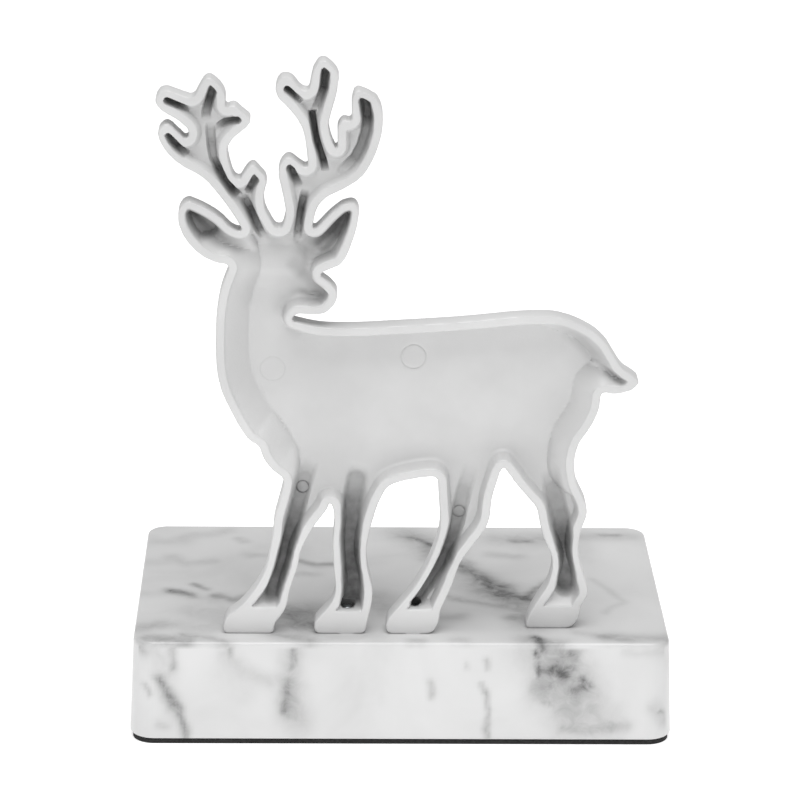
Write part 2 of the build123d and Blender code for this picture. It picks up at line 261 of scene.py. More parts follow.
# pockets in the floor of the hollow: a line through (x, h, strength), then half width, depth and painted
# shade with dull plating
pockets = {
    "nearForeLeg": ([(-23.6, 47, 0), (-25.4, 41.5, 0.5), (-27, 35, 0.8), (-29.2, 26, 1),
                     (-32.2, 15, 1), (-34, 9.5, 0.9)], 2.5, 2.4, 0.86),
    "farForeLeg": ([(-11, 45.5, 0), (-12, 41, 0.5), (-13.4, 33, 0.85), (-13.6, 26, 0.9),
                    (-12.9, 19, 1), (-13.2, 8, 1)], 3.3, 2.4, 0.92),
    "nearHindLeg": ([(18.5, 47, 0), (15.8, 38.5, 0.45), (14, 30, 0.7), (11.3, 21, 1),
                     (6.7, 12.9, 0.95), (4, 9, 0.8)], 2.4, 2.4, 0.88),
    "farHindLeg": ([(37.5, 46, 0), (39, 38.5, 0.5), (41, 31, 0.65), (42.3, 24, 1), (42.8, 18, 0.8),
                    (43, 11, 0.95)], 3.0, 2.4, 0.86),
    "farTine1": ([(-59.9, 142.3, 1), (-57.3, 141.2, 0.9), (-54.4, 140, 0)], 1.1, 4.2, 0.85),
    "farTine2": ([(-48.4, 145.6, 1), (-49.4, 142.4, 0.95), (-50.3, 139, 0.4), (-50.2, 137, 0)],
                 1.35, 4.2, 0.8),
    "farTine3": ([(-42.4, 137.5, 1), (-45.4, 136.8, 0.6), (-48, 135, 0)], 1.1, 4.0, 0.75),
    "farTine4": ([(-59.7, 132.9, 1), (-57.6, 130.6, 0.95), (-55, 128, 0)], 1.35, 4.2, 0.85),
    "farBeam": ([(-49.2, 137, 0), (-49.2, 134, 0.35), (-48.9, 130.5, 0.55), (-48.4, 127.5, 0.4),
                 (-46.9, 124, 0.95), (-43.9, 119.4, 0.95), (-42.4, 117.6, 0.1)], 1.4, 4.0, 0.85),
    "farBase": ([(-41.5, 118, 0), (-40.4, 116, 0.6), (-39.1, 113.4, 1), (-37.2, 109, 0.8),
                 (-35.6, 106, 0.1)], 1.4, 3.6, 0.85),
    "farBrowTine": ([(-37.7, 122.8, 0.9), (-39.3, 119.9, 0.6), (-40, 118.4, 0)], 1.2, 4.0, 0.8),
    "nearTine1": ([(-30, 145.4, 1), (-28.4, 144.1, 0.8), (-26.4, 142.2, 0)], 1.05, 4.2, 0.88),
    "nearTine2": ([(-20.5, 150.1, 1), (-20.9, 145.7, 0.95), (-22.2, 141.5, 0.4), (-23, 139.5, 0.1)],
                  1.35, 4.2, 0.82),
    "nearBeam": ([(-24.1, 140, 0), (-23.8, 138.4, 0.9), (-22.8, 132.5, 1), (-20.9, 126.3, 0.95),
                  (-20.4, 124.2, 0)], 1.1, 4.4, 0.95),
    "nearTine3": ([(-10.8, 142.4, 1), (-10, 138, 1), (-10.1, 134.8, 0.6), (-11.3, 130.5, 0.6),
                   (-12.8, 127.6, 0.55), (-16, 124.4, 0.1)], 1.7, 4.2, 0.85),
    "nearBrowTine": ([(-29.2, 125.2, 1), (-28.3, 122.8, 0.8), (-27, 120.2, 0)], 1.25, 4.0, 0.78),
    "nearBase": ([(-25.4, 119.4, 0), (-26, 116.5, 0.65), (-26.6, 113.5, 0.95), (-27.3, 108, 0.7),
                  (-27.4, 105.4, 0.1)], 1.25, 3.6, 0.9),
    "farEar": ([(-54.9, 113.3, 1), (-49.5, 109, 0.85), (-43, 105.4, 0.5)], 4.4, 0.4, 0.9),
    "nearEar": ([(-14.9, 113.1, 1), (-18.4, 107.4, 0.95), (-22.4, 104.8, 0.7), (-27, 102.2, 0)],
                4.0, 0.4, 1.0),
    "brow": ([(-36.5, 107.5, 0.4), (-34, 105.4, 0.9), (-31.4, 104.6, 0.7), (-29, 105, 0.2)],
             2.2, 0.3, 0.35),
    "nose": ([(-30, 102, 0), (-28.4, 99, 0.6), (-26, 96.4, 0.9), (-23, 94.6, 0.6)], 3.6, 0.7, 0.34),
    "mouth": ([(-27.6, 91.4, 0.3), (-24, 90.8, 0.8), (-21.4, 90.8, 0.5)], 1.2, 0.6, 0.35),
    "jaw": ([(-31.4, 90, 0.1), (-30.4, 86.8, 0.7), (-28.8, 83.2, 0.7), (-27.6, 81.4, 0.4)],
            3.0, 0.7, 0.2),
    "rump": ([(37, 85, 0), (41.5, 82.6, 0.5), (45, 79.8, 1), (48.2, 76.2, 0.8), (50, 74, 0.5)],
             3.4, 0.6, 0.3),
    "tail": ([(49.5, 73.6, 0.6), (52.3, 71.6, 1), (55.6, 69.1, 0.8)], 1.5, 1.2, 0.42),
}
# ear hollows: x, h, half length, half width, tilt, depth
earHollows = [(-49.5, 109.2, 8.5, 5, -38, 3.6), (-19.2, 107.6, 8, 4.6, 48, 3.6)]
# ejector pin marks: x, h, radius, depth
pinMarks = [
    (-26.0, 38.8, 1.6, 0.28), (14.6, 32.3, 1.6, 0.22), (2.4, 74.1, 3.2, 0.12), (-33.8, 70.6, 3.2, 0.08),
]
markWidth = 0.3
# muscles, cheek, brow, eye and nose on the modelled side: x, h, half length, half width, tilt, height
swells = [
    (-26.0, 58.0, 13.0, 8.0, 60, 1.3), (35.0, 64.0, 15.0, 10.0, 70, 1.5),
    (4.0, 62.0, 22.0, 9.0, 5, 0.5), (-38.0, 80.0, 16.0, 6.0, 95, 0.9), (-33.0, 97.0, 5.5, 4.5, 20, 1.1),
    (-29.0, 98.6, 1.5, 1.2, 0, 1.1), (-20.0, 92.4, 2.2, 1.8, 40, 0.8), (-14.0, 31.0, 6.0, 2.6, 88, 0.5),
    (-29.0, 30.0, 7.0, 2.6, 75, 0.5), (42.5, 33.0, 6.0, 2.8, 80, 0.6), (17.0, 33.0, 8.0, 3.4, 80, 0.6),
    (-27.0, 111.5, 2.6, 2.2, 0, 0.5), (-38.5, 111.5, 2.6, 2.2, 0, 0.5),
]
# carved lines on the modelled side: a line, its half width and its depth
carvings = [
    ([(-31.2, 97.6), (-29.6, 97.0), (-27.6, 97.4)], 0.35, 0.55),
    ([(-31.4, 99.6), (-29.4, 100.4), (-27.2, 99.6)], 0.35, 0.45),
    ([(-18.6, 92.9), (-19.4, 93.4)], 0.35, 0.6),
    ([(-18.2, 90.6), (-21.0, 90.2), (-24.6, 90.9)], 0.3, 0.55),
    ([(22, 47), (26, 55), (26, 64), (31, 72)], 0.9, 0.5),
    ([(-14, 46), (-15, 54), (-20, 62)], 0.9, 0.45), ([(49.5, 71.5), (53, 70.5)], 0.5, 0.5),
    ([(-52.6, 112.6), (-47, 107.6), (-43.4, 104.6)], 1.5, 1.5),
    ([(-14.8, 112.4), (-17.6, 107.6), (-21.4, 103.6)], 1.4, 1.5), ([(-46, 9.2), (-30, 9.2)], 0.4, 0.45),
    ([(-22, 7.6), (-7, 7.6)], 0.4, 0.45), ([(-2, 8.4), (11, 8.4)], 0.4, 0.45),
    ([(33, 9.0), (49, 9.0)], 0.4, 0.45), ([(-41, 0), (-38.4, 7.6)], 0.35, 0.4),
    ([(-17.4, 0), (-15.2, 6.2)], 0.35, 0.4), ([(1.4, 0), (4.0, 7.0)], 0.35, 0.4),
    ([(38.2, 0), (41.0, 7.8)], 0.35, 0.4),
]
# tapped holes for the two screws; touch is how near a point lies to count as on the hole's wall
screwBoxes = [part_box(end + "_screw") for end in ("fore", "hind")]
tapped = {
    "xs": [round((low[0] + high[0]) / 2 / mm, 2) for low, high in screwBoxes],
    "deep": 9.2, "across": 4.0, "touch": 0.06, "above": 0.1,
}


def outlineOf(node):
    # the walls with nothing in front of them are the outline; gives their runs and a test for being inside
    wallLean, justOutside = 0.01, 3e-5
    shape = bmesh.new()
    shape.from_mesh(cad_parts[node].data)
    bmesh.ops.remove_doubles(shape, verts=shape.verts, dist=samePoint)
    shape.normal_update()
    solid = BVHTree.FromBMesh(shape)

    def inside(x, z):
        return solid.ray_cast(Vector((x, -1, z)), Vector((0, 1, 0)))[0] is not None

    runs = set()
    for face in shape.faces:
        n = face.normal
        if abs(n.y) > wallLean:
            continue
        middle = face.calc_center_median()
        ends = sorted({(round(v.co.x, 6), round(v.co.z, 6)) for v in face.verts})
        if len(ends) == 2 and not inside(middle.x + n.x * justOutside, middle.z + n.z * justOutside):
            runs.add(tuple(ends))
    shape.free()
    return sorted(runs), inside


def distanceGrid(runs, inside, step):
    corners, ribbons = [], []
    for (xa, za), (xb, zb) in runs:
        first = len(corners)
        corners += [(xa, -1, za), (xb, -1, zb), (xb, 1, zb), (xa, 1, za)]
        ribbons.append((first, first + 1, first + 2, first + 3))
    walls = BVHTree.FromPolygons(corners, ribbons)
    xs = np.arange(deerLow[0] - 2 * step, deerHigh[0] + 3 * step, step)
    zs = np.arange(deerLow[2] - 2 * step, deerHigh[2] + 3 * step, step)
    grid = np.empty((len(xs), len(zs)))
    for i, x in enumerate(xs):
        for j, z in enumerate(zs):
            away = walls.find_nearest(Vector((x, 0, z)))[3]
            grid[i, j] = away if inside(x, z) else -away
    return xs, zs, grid


def planMesh(xs, zs, grid):
    # a flat triangle mesh of the silhouette, in mm, whose z is d
    plan = bmesh.new()
    index = {}
    for i in range(len(xs) - 1):
        for j in range(len(zs) - 1):
            if grid[i:i + 2, j:j + 2].max() < 0:
                continue
            corner = []
            for a, b in ((i, j), (i + 1, j), (i + 1, j + 1), (i, j + 1)):
                if (a, b) not in index:
                    index[a, b] = plan.verts.new((xs[a] / mm, (zs[b] - blockTop) / mm, grid[a, b] / mm))
                corner.append(index[a, b])
            if (i + j) % 2:
                corner = corner[1:] + corner[:1]
            plan.faces.new((corner[0], corner[1], corner[2]))
            plan.faces.new((corner[0], corner[2], corner[3]))
    return plan


def cutAt(plan, level, clear=False):
    # splits the faces along z = level and puts the new points exactly on it
    snap = 0.04
    everything = plan.verts[:] + plan.edges[:] + plan.faces[:]
    made = bmesh.ops.bisect_plane(plan, geom=everything, dist=snap, plane_co=(0, 0, level),
                                  plane_no=(0, 0, 1), clear_inner=clear)
    for item in made["geom_cut"]:
        if isinstance(item, bmesh.types.BMVert):
            item.co.z = level


def cutAlong(plan, store, measure, levels):
    # cuts along levels of another measure of (x, h, d), while d waits in the store layer
    for vert, value in zip(plan.verts, measure(*np.array([v.co for v in plan.verts]).T)):
        vert[store] = vert.co.z
        vert.co.z = value
    for level in levels:
        cutAt(plan, level)
    for vert in plan.verts:
        vert.co.z = vert[store]


def stretches(line, x, h):
    # for each stretch of a line: the part of it, 0 to 1, at the nearest point, and how far away that is
    for (xa, ha), (xb, hb) in zip(line, line[1:]):
        t = np.clip(((x - xa) * (xb - xa) + (h - ha) * (hb - ha)) / ((xb - xa) ** 2 + (hb - ha) ** 2), 0, 1)
        yield t, np.hypot(x - xa - t * (xb - xa), h - ha - t * (hb - ha))


def lineDistance(line, x, h):
    best = np.full(x.shape, 1e9)
    for t, away in stretches(line, x, h):
        best = np.minimum(best, away)
    return best


def blob(x, h, cx, ch, long, wide, tilt):
    # 1 at the middle of an oval, falling smoothly to 0
    turn = math.radians(tilt)
    along = ((x - cx) * math.cos(turn) + (h - ch) * math.sin(turn)) / long
    across = ((h - ch) * math.cos(turn) - (x - cx) * math.sin(turn)) / wide
    return np.exp(-along ** 2 - across ** 2)


def pocketField(pocket, x, h):
    # strength of one pocket, 1 along the middle of its line and 0 beyond its half width
    line, half, deep, shadeAndDullPlate = pocket
    core = casting["pocketCore"] * half if deep > casting["deepPocket"] else 0
    best = np.zeros(x.shape)
    parts = stretches([place[:2] for place in line], x, h)
    for (t, away), (xa, ha, start), (xb, hb, end) in zip(parts, line, line[1:]):
        best = np.maximum(best, (start + (end - start) * t) * (1 - smoothStep(core, half, away)))
    return best


def pocketEdge(x, h, d):
    # distance from the middle of the nearest deep pocket, in half widths
    farOff = 9.0
    best = np.full(x.shape, farOff)
    for line, half, deep, shadeAndDullPlate in pockets.values():
        if deep > casting["deepPocket"]:
            best = np.minimum(best, lineDistance([place[:2] for place in line], x, h) / half)
    return best


def trunkPart(h):
    return between(casting["trunkHigh"], h)


def flankRun(x, h):
    c = casting
    run = c["wallRun"] + (c["limbRun"] - c["wallRun"]) * (1 - trunkPart(h))
    for flank in flanks:
        away = lineDistance(flank["line"], x, h)
        near = 1 - smoothStep(flank["reach"], flank["reach"] + c["flankFade"], away)
        run = np.maximum(run, c["wallRun"] + near * flank["run"])
    return run


def hoofTop(x):
    top, slope = np.zeros(x.shape), np.ones(x.shape)
    for left, right, height, run in hooves:
        top = np.where((x >= left) & (x < right), height, top)
        slope = np.where((x >= left) & (x < right), run, slope)
    return top, slope


def hollowStart(x, h, d):
    # distance in from the inner edge of the rim, negative on the rim and on the solid hooves
    return np.minimum(d - casting["rim"], h - hoofTop(x)[0])


def hollowFall(x, h, d):
    # 0 at the inner edge of the rim and 1 where the side of the hollow meets its floor
    top, slope = hoofTop(x)
    return np.minimum((d - casting["rim"]) / flankRun(x, h), (h - top) / slope)


def hollowDepth(x, h, d):
    # depth of the hollow below the rim, and how much painted shade and dull plating it carries
    c = casting
    fall = np.clip(hollowFall(x, h, d), 0, 1)
    start = hollowStart(x, h, d)
    head = between(c["headHigh"], h) * between(c["headAcross"], x)
    limb = c["legHollow"] + (c["antlerHollow"] - c["legHollow"]) * smoothStep(*c["limbHigh"], h)
    deep = limb + (c["trunkHollow"] - limb) * trunkPart(h)
    deep = deep + (c["headHollow"] - deep) * head
    for cx, ch, long, wide, tilt, extra in earHollows:
        deep = deep + extra * np.clip(c["earSpread"] * blob(x, h, cx, ch, long, wide, tilt), 0, 1)
    top, slope = hoofTop(x)
    clear = smoothStep(*c["pocketFade"], d) * smoothStep(0, 1, (h - top) / slope)
    more = np.zeros(x.shape)
    # painted shade with dull plating, growing from the rim into the hollow
    shadeAndDullPlate = (c["trunkShadeDull"] + c["limbShadeDull"] * (1 - trunkPart(h))) * fall
    # each pocket adds its own painted shade with dull plating, strongest along its middle
    for pocket in pockets.values():
        field = pocketField(pocket, x, h) * clear
        more = np.maximum(more, pocket[2] * field)
        shadeAndDullPlate = np.maximum(shadeAndDullPlate, pocket[3] * field)
    steep = 1 - smoothStep(*c["filletSteep"], flankRun(x, h))
    nearWall = np.clip(1 - (start - c["wallRun"]) / (c["filletReach"] * c["fillet"]), 0, 1)
    corner = nearWall ** 2 * c["fillet"] * steep
    depth = np.maximum(deep * fall - corner * fall, 0) + more
    for cx, ch, radius, more in pinMarks:
        groove = 1 - np.abs(np.hypot(x - cx, h - ch) - radius) / markWidth
        ring = np.clip(groove, 0, 1) * (fall > c["markFall"])
        depth = depth + more * ring
        # painted shade in each pin mark's groove, by its depth
        shadeAndDullPlate = shadeAndDullPlate + more * ring
    return depth, shadeAndDullPlate


def rimRounding(x, h, d):
    r = casting["rimRound"]
    start = hollowStart(x, h, d)
    outer = r - np.sqrt(np.maximum(r * r - np.clip(r - d, 0, r) ** 2, 0))
    inner = r - np.sqrt(np.maximum(r * r - np.clip(r + start, 0, r) ** 2, 0))
    return outer + np.where(start < 0, inner, r)


def reliefHeight(x, h, d):
    # the modelled side: crowned limbs, fuller trunk and head, muscles, carved lines and combed hair
    c = casting
    crown = np.clip(d / c["crownRun"], 0, 1)
    height = c["crown"] * np.sqrt(1 - (1 - crown) ** 2)
    full = 1 - (1 - np.clip((d - c["fullStart"]) / c["fullRun"], 0, 1)) ** 2
    height = height + c["full"] * between(c["fullHigh"], h) * full
    for cx, ch, long, wide, tilt, more in swells:
        height = height + more * blob(x, h, cx, ch, long, wide, tilt) * np.clip(d / c["swellEdge"], 0, 1)
    inward = np.clip(d / c["carvingEdge"], 0, 1)
    for line, width, more in carvings:
        height = height - more * np.exp(-(lineDistance(line, x, h) / width) ** 2) * inward
    for name, pocket in pockets.items():
        if "Tine" in name or name.endswith(("Beam", "Base")):
            away = lineDistance([place[:2] for place in pocket[0]], x, h) / c["tineGrooveWide"]
            height = height - c["tineGroove"] * np.exp(-away ** 2) * inward
    alongX, alongH = c["hairAlong"]
    acrossX, acrossH = c["hairAcross"]
    hair = np.array([noise.noise(Vector((px * alongX + ph * alongH, ph * acrossH + px * acrossX, 0)))
                     for px, ph in zip(x, h)])
    grown = smoothStep(*c["hairHigh"], h) * smoothStep(*c["hairEdge"], d) * (h < c["hairTop"])
    return height + c["hair"] * hair * grown


def leanOffset(x, h):
    # the far hind leg stands back towards its hoof
    c = casting
    back = c["setBack"] * np.clip(1 - h / c["leanTop"], 0, 1)
    fade = smoothStep(c["leanLeft"], c["leanLeft"] + c["leanFade"], x)
    return np.where(x > c["leanLeft"], back * fade, 0)


def cutBack(plan):
    # edges where the hollow side bends
    c = casting
    r = c["rimRound"]
    store = plan.verts.layers.float.new("store")
    for level in (r * c["roundCut"], r):
        cutAt(plan, level)
    cutAlong(plan, store, hollowStart, (-r, -r * c["roundCut"], 0))
    cutAlong(plan, store, hollowFall, (1,))
    cutAt(plan, c["dishCut"])
    cutAlong(plan, store, pocketEdge, c["pocketCuts"])
    cutAlong(plan, store, hollowStart, [c["wallRun"] + more for more in c["filletCuts"]])
    for cx, ch, radius, deep in pinMarks:
        cutAlong(plan, store, lambda x, h, d: np.hypot(x - cx, h - ch),
                 (radius - markWidth, radius, radius + markWidth))


def castingMesh():
    # a flat plan of the silhouette is cut for each side and raised into the hollow and the modelled side
    c = casting
    plan = planMesh(*distanceGrid(*outlineOf("reindeer"), c["grid"] * mm))
    cutAt(plan, 0, clear=True)
    plan.verts.index_update()
    rim = [[v.index for v in e.verts] for e in plan.edges if e.is_boundary]
    order = plan.verts.layers.int.new("order")
    for vert in plan.verts:
        vert[order] = vert.index + 1
    front = plan.copy()
    cutBack(plan)
    for level in c["frontCuts"]:
        cutAt(front, level)
    points, faces, sides, shadeAndDullPlate = [], [], [], []
    for half, isBack in ((plan, True), (front, False)):
        bmesh.ops.triangulate(half, faces=half.faces[:])
        half.verts.index_update()
        x, h, d = np.array([v.co for v in half.verts]).T
        y = c["wallDepth"] + reliefHeight(x, h, d)
        shadeDull = np.zeros(x.shape)
        if isBack:
            depth, shadeDull = hollowDepth(x, h, d)
            y = np.minimum(rimRounding(x, h, d) + depth, y - c["thinnest"])
        shadeAndDullPlate += list(shadeDull)
        y = y + leanOffset(x, h)
        shift = len(points)
        points += [(px * mm, rimY + py * mm, blockTop + ph * mm) for px, py, ph in zip(x, y, h)]
        key = half.verts.layers.int["order"]
        sides.append({v[key] - 1: v.index + shift for v in half.verts if v[key] > 0 and v.is_boundary})
        for face in half.faces:
            corners = [v.index + shift for v in face.verts]
            faces.append(corners if isBack else corners[::-1])
        half.free()
    back, ahead = sides
    for a, b in rim:
        faces.append((back[b], back[a], ahead[a], ahead[b]))
    mesh = bpy.data.meshes.new("reindeerCasting")
    mesh.from_pydata(points, [], faces)
    # painted shade and dull plating of the hollow, one value for each point
    mesh.attributes.new("shadeAndDullPlate", "FLOAT", "POINT").data.foreach_set("value", shadeAndDullPlate)
    shape = bmesh.new()
    shape.from_mesh(mesh)
    bmesh.ops.recalc_face_normals(shape, faces=shape.faces)
    shape.to_mesh(mesh)
    shape.free()
    shadeSmooth(mesh, c["sharpest"])
    return mesh


def drill(piece, holes):
    # cuts round holes from below: x, y, bottom, top and diameter of each, in metres
    tool = bmesh.new()
    for x, y, low, high, across in holes:
        place = Matrix.Translation((x, y, (low + high) / 2))
        bmesh.ops.create_cone(tool, cap_ends=True, segments=48, radius1=across / 2, radius2=across / 2,
                              depth=high - low, matrix=place)
    mesh = bpy.data.meshes.new("drillTool")
    tool.to_mesh(mesh)
    tool.free()
    cutter = bpy.data.objects.new("drillTool", mesh)
    scene.collection.objects.link(cutter)
    cut = piece.modifiers.new("holes", "BOOLEAN")
    cut.operation = "DIFFERENCE"
    cut.solver = "MANIFOLD"
    cut.object = cutter
    applyModifiers(piece)
    bpy.data.objects.remove(cutter)


def darkenHoles(piece):
    # the walls of the tapped holes get the full painted shade of the deepest pockets
    holeShade = piece.data.attributes["shadeAndDullPlate"].data
    highest = blockTop + (tapped["deep"] + tapped["above"]) * mm
    for x in tapped["xs"]:
        for vert in piece.data.vertices:
            away = math.hypot(vert.co.x - x * mm, vert.co.y - screwY) / mm
            if abs(away - tapped["across"] / 2) < tapped["touch"] and vert.co.z < highest:
                holeShade[vert.index].value = 1.0


def satinCasting():
    # die-cast alloy with a satin plate: the plate scatters nearly all its light, so highlights are wide and
    # soft and there is hardly any mirror; a faint cast grain shows, and painted shade with dull plating
    # darkens it where the hollow is deep
    c = casting
    material, tree, surface, where = newMaterial("satinPlatedCasting")
    cloud = addNode(tree, "ShaderNodeTexNoise", Vector=where, Scale=scaleFor(c["cloud"]), Detail=3.0)
    plate = ramp(tree, cloud.outputs["Fac"], *c["plate"])
    # painted shade with dull plating, broken into patches and mixed towards the dark grey
    shadeDull = addNode(tree, "ShaderNodeAttribute", {"attribute_name": "shadeAndDullPlate"}).outputs["Fac"]
    shadePatch = addNode(tree, "ShaderNodeTexNoise", Vector=where, Scale=scaleFor(c["shadePatch"]), Detail=4.0)
    patchy = addNode(tree, "ShaderNodeMapRange", i0=shadePatch.outputs["Fac"], i1=0.3, i2=0.7, i3=0.85, i4=1.1)
    amount = addNode(tree, "ShaderNodeMath", {"operation": "MULTIPLY", "use_clamp": True}, i0=shadeDull,
                     i1=patchy.outputs[0])
    colour = addNode(tree, "ShaderNodeMix", {"data_type": "RGBA"}, i0=amount.outputs[0], i6=plate,
                     i7=hexColour(c["shadedDullGrey"]))
    tree.links.new(colour.outputs[2], surface.inputs["Base Color"])
    surface.inputs["Metallic"].default_value = c["metallic"]
    rough = addNode(tree, "ShaderNodeMapRange", i0=amount.outputs[0], i3=c["roughPlate"],
                    i4=c["roughShadeAndDull"])
    tree.links.new(rough.outputs[0], surface.inputs["Roughness"])
    grain = addNode(tree, "ShaderNodeTexNoise", Vector=where, Scale=scaleFor(c["grain"]), Detail=2.0)
    waves = addNode(tree, "ShaderNodeTexNoise", Vector=where, Scale=scaleFor(c["waves"]), Detail=2.0)
    fine = addNode(tree, "ShaderNodeBump", Strength=0.12, Distance=0.2 * mm, Height=grain.outputs["Fac"])
    soft = addNode(tree, "ShaderNodeBump", Strength=0.12, Distance=0.6 * mm, Height=waves.outputs["Fac"],
                   Normal=fine.outputs["Normal"])
    tree.links.new(soft.outputs["Normal"], surface.inputs["Normal"])
    return material


deer = makeObject("reindeerCasting", castingMesh(), satinCasting())
screwY = sum(corner[1] for corner in screwBoxes[0]) / 2
drill(deer, [(x * mm, screwY, blockTop - mm, blockTop + tapped["deep"] * mm, tapped["across"] * mm)
             for x in tapped["xs"]])
darkenHoles(deer)
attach(deer, "root")
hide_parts("reindeer")
print("casting ready", len(deer.data.polygons), "faces")


# The cast marble block, in mm. Its greys are ramps of (place, colour).
block = {
    "grid": 0.9, "corner": 5.4, "draft": 1.1, "topRound": 1.0, "footRound": 0.6,
    "roundCuts": (1, 0.6, 0.3, 0.1), "footSteps": 4,  # rows of faces in the two roundings
    "clearance": 4.6, "counterbore": 9.6, "boreDeep": 10.0, # screw holes from below
    "wander": 0.9, "slowBend": 0.16, "quickBend": 0.45, "quickPart": 0.5,  # how the streaks stray
    "falloff": 0.9, "topBand": 1.2, "sideBand": 2.6,  # softness of a streak, and where each face starts
    "sharpest": 40,
    "body": ((0.3, "#c0c0c0"), (0.5, "#cbcbcb"), (0.7, "#d0d0d0")),
    "veins": ((0.0, "#ffffff"), (0.35, "#e3e3e3"), (0.7, "#b7b7b7"), (1.0, "#646464")),
    "roughness": 0.3, "glassiness": 1.5,  # polished resin-bound stone
    "cloud": 35.714,  # clouds in the body
    "broken": 4.1667,  # ragged patches along a vein
    "polish": 11.11,  # ripple left by the polishing wheel
}
# streaks on the top face: points (x, y), half width, strength
topStreaks = [
    ([(-67, 31), (-60, 31)], 3.0, 0.22), ([(-60, 35), (-52, 37), (-47, 40)], 2.4, 0.26),
    ([(-44, 33), (-43, 31)], 1.6, 0.3), ([(-41, 20), (-35, 20)], 2.0, 0.3),
    ([(-62, 19), (-58, 13), (-51, 16)], 2.2, 0.26), ([(-70, 14), (-64, 15)], 3.0, 0.16),
    ([(-62, -7), (-56, -10)], 1.8, 0.75), ([(-56, -2), (-52, -6)], 1.3, 0.6),
    ([(-49, -11), (-45, -13), (-39, -10), (-36, -6)], 2.2, 0.6),
    ([(-70, -10), (-62, -8), (-50, -14)], 3.0, 0.2), ([(-27, 16), (-22, 12.5), (-18, 13)], 1.7, 0.6),
    ([(-27, 6), (-23, 6)], 2.0, 0.3), ([(-28, -24), (-24, -31)], 6.5, 0.75),
    ([(-31, -20), (-22, -20)], 5.0, 0.3), ([(-8, -12), (-4, -20)], 5.5, 0.45),
    ([(-55, -22), (-44, -27)], 6.0, 0.28), ([(-58, -32), (-50, -34)], 3.5, 0.26),
    ([(-70, -34), (-63, -32)], 3.2, 0.42), ([(-66, -41), (-56, -43)], 3.0, 0.55),
    ([(-57, -38), (-50, -41), (-46, -44)], 2.2, 0.4), ([(-34, -38), (-24, -42)], 2.6, 0.4),
    ([(-18, -40), (-8, -39)], 2.0, 0.2), ([(3, 37), (9, 30), (12, 24)], 6.5, 0.5),
    ([(4, 35), (9, 29)], 1.6, 0.7), ([(8, 28), (8, 17)], 2.2, 0.3), ([(28, 34), (44, 34)], 5.0, 0.4),
    ([(33, 32), (36, 32)], 1.6, 0.6), ([(26, 21), (33, 20)], 2.6, 0.35),
    ([(17, 14), (23, 3), (29, -10), (36, -13)], 3.2, 0.8), ([(26, -4), (32, -18), (34, -30)], 5.5, 0.5),
    ([(17, 10), (22, -8)], 5.0, 0.3), ([(34, -11), (37, -5), (41, 2)], 1.3, 0.7),
    ([(12, -10), (22, -16), (28, -18)], 1.8, 0.4), ([(9, -26), (16, -25)], 2.6, 0.35),
    ([(29, -26), (34, -27)], 2.0, 0.4), ([(50, 36), (66, 36)], 3.0, 0.25),
    ([(57, 37), (62, 37)], 1.2, 0.45), ([(53, 3), (56, -4), (60, -14), (54, -22)], 1.2, 0.2),
    ([(54, -39), (70, -40)], 3.0, 0.42), ([(46, -36), (58, -41)], 2.2, 0.25),
    ([(3, -42), (5, -42)], 1.8, 0.4), ([(14, -41), (16, -42)], 2.0, 0.25),
    ([(35, -39), (36.5, -43)], 1.5, 0.9), ([(32, -41), (41, -43)], 3.0, 0.5),
]
# streaks on the near face: points (x, z), half width, strength
frontStreaks = [
    ([(-63.5, 19), (-62.4, 16.5), (-60.4, 12), (-58.4, 9), (-57.2, 5), (-57, 1.5)], 1.3, 0.7),
    ([(-61, 15), (-59.5, 10.5)], 2.4, 0.3), ([(-67, 16.4), (-65.6, 14)], 0.9, 0.4),
    ([(-60, 27), (-59.4, 21)], 1.1, 0.4), ([(-64, 26), (-61, 20)], 3.0, 0.22),
    ([(-69, 27), (-67, 25)], 1.4, 0.4), ([(-44.8, 26.6), (-44.5, 25.4)], 0.8, 0.5),
    ([(-46, 25), (-40, 20), (-34.5, 17.5)], 2.2, 0.26), ([(-46, 20), (-40, 15)], 3.5, 0.12),
    ([(-29, 28), (-28.8, 22)], 1.0, 0.55), ([(-29, 27), (-29, 18), (-29.8, 9)], 3.0, 0.36),
    ([(-29.3, 17.5), (-30.4, 9)], 1.2, 0.5), ([(-28, 16), (-26.4, 5.6)], 3.2, 0.3),
    ([(7.4, 17.4), (7.6, 13.4)], 1.1, 0.42), ([(22.1, 23.4), (22.4, 21.4)], 0.8, 0.4),
    ([(17, 21.6), (17.1, 21.2)], 0.9, 0.3), ([(20.6, 17.2), (21.5, 14.8)], 0.7, 0.4),
    ([(22, 14), (22.5, 10), (22.3, 6), (22.4, 2)], 0.9, 0.5),
    ([(36, 27), (40, 21), (45, 14)], 7.0, 0.4), ([(44, 25), (49, 16)], 4.5, 0.28),
    ([(39, 14), (44, 8), (53, 6.5)], 5.5, 0.3), ([(42, 4.6), (50, 4.2), (59, 5.4)], 1.5, 0.35),
    ([(34.8, 25.6), (35.4, 24.9)], 0.7, 1.0), ([(35.6, 22.5), (35.8, 19.6)], 0.7, 0.8),
    ([(40.2, 20.8), (42.4, 19.0)], 1.7, 1.0), ([(37, 21), (40, 20.6)], 1.0, 0.6),
    ([(36.2, 29), (36.8, 26.6)], 1.0, 0.9), ([(43.4, 21.9), (44.8, 21.5)], 1.0, 0.7),
    ([(44.4, 26), (45.8, 25)], 1.2, 0.5), ([(47.4, 18.6), (49.6, 16.6)], 0.9, 0.6),
    ([(45, 15), (47.6, 15.8)], 1.1, 0.6), ([(37.4, 11.4), (38.8, 11.2)], 0.8, 0.45),
    ([(41, 26), (36, 16)], 3.0, 0.35), ([(66.4, 10.4), (68.8, 6.4)], 2.0, 0.3),
    ([(67.8, 9.2), (68.6, 8.6)], 0.6, 0.5), ([(58, 25.6), (69, 25.4)], 1.0, 0.16),
    ([(-63, 5.6), (-62, 5)], 1.2, 0.25),
]
